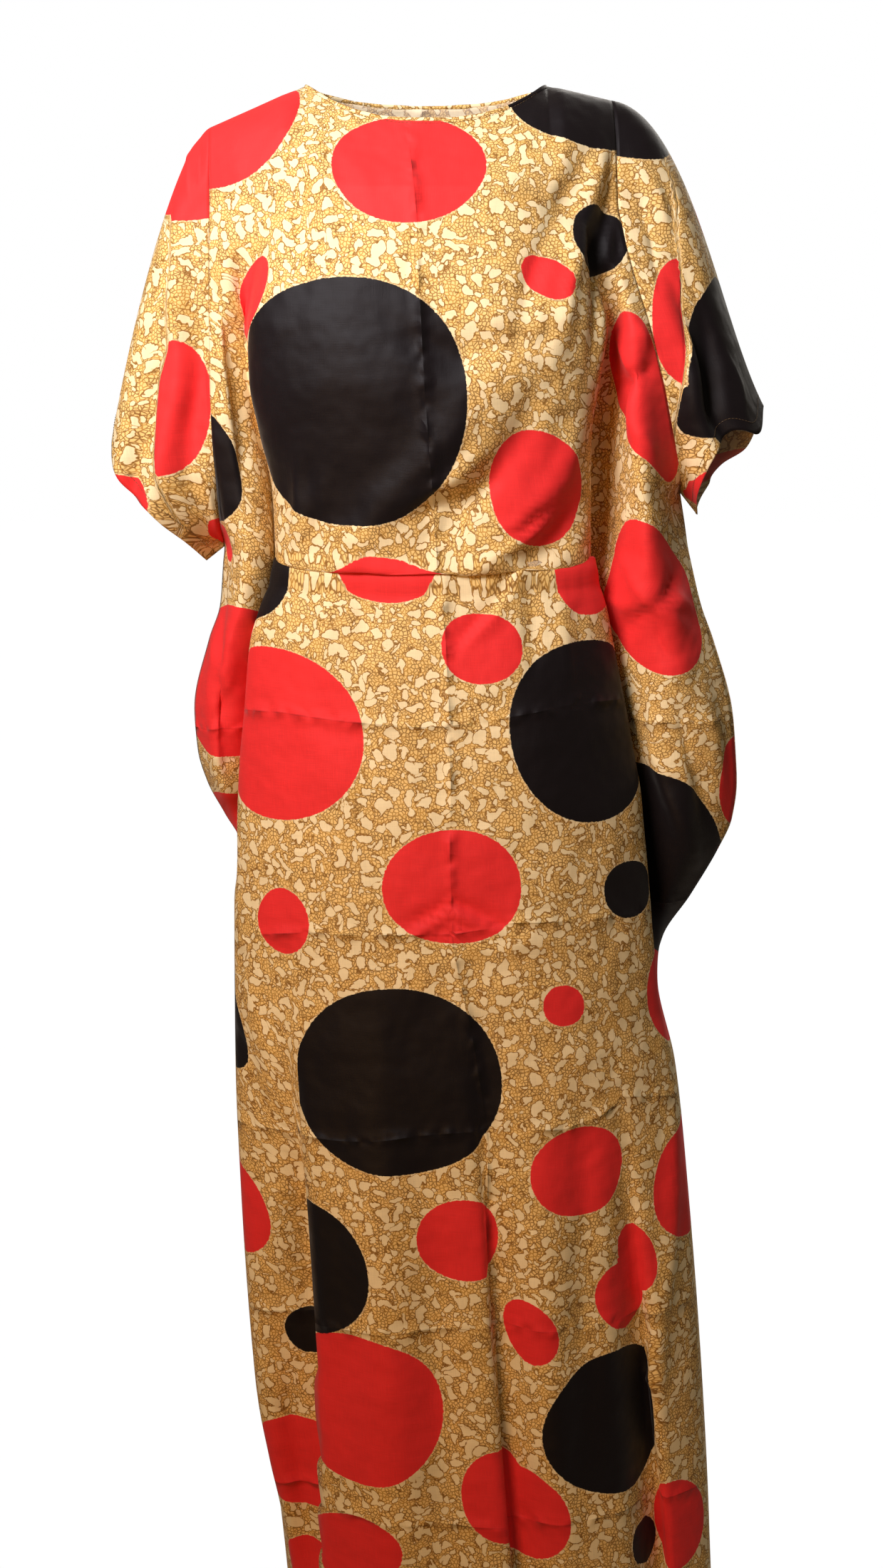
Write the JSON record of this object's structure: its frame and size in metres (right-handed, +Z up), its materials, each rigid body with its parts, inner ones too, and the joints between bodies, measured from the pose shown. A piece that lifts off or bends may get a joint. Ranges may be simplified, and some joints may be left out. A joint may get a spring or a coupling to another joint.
{
  "type": "baati dress",
  "caption": "Loose ankle-length kaftan dress with short wide sleeves and a round neck, drawn in at the front waist so that the spare width hangs at each side.",
  "frame": {"origin": "on the shoulder line, midway between the two neck points, where the wearer's shoulders carry the dress", "axes": "+Z up out of the neck, the front of the dress faces -Y, and +X is on the right as seen from the front"},
  "size_m": [0.564, 0.2735, 1.4238],
  "materials": {
    "cloth": "light plain-woven cloth with a faint sheen, printed with large red and black dots on a pebbled cream and ochre ground",
    "binding": "the same cloth, rolled narrow and stitched along the neckline"
  },
  "bodies": {
    "root": {"front": "cloth", "back": "cloth", "sleeve_left": "cloth", "sleeve_right": "cloth", "neck_binding": "binding"}
  },
  "joints": []
}
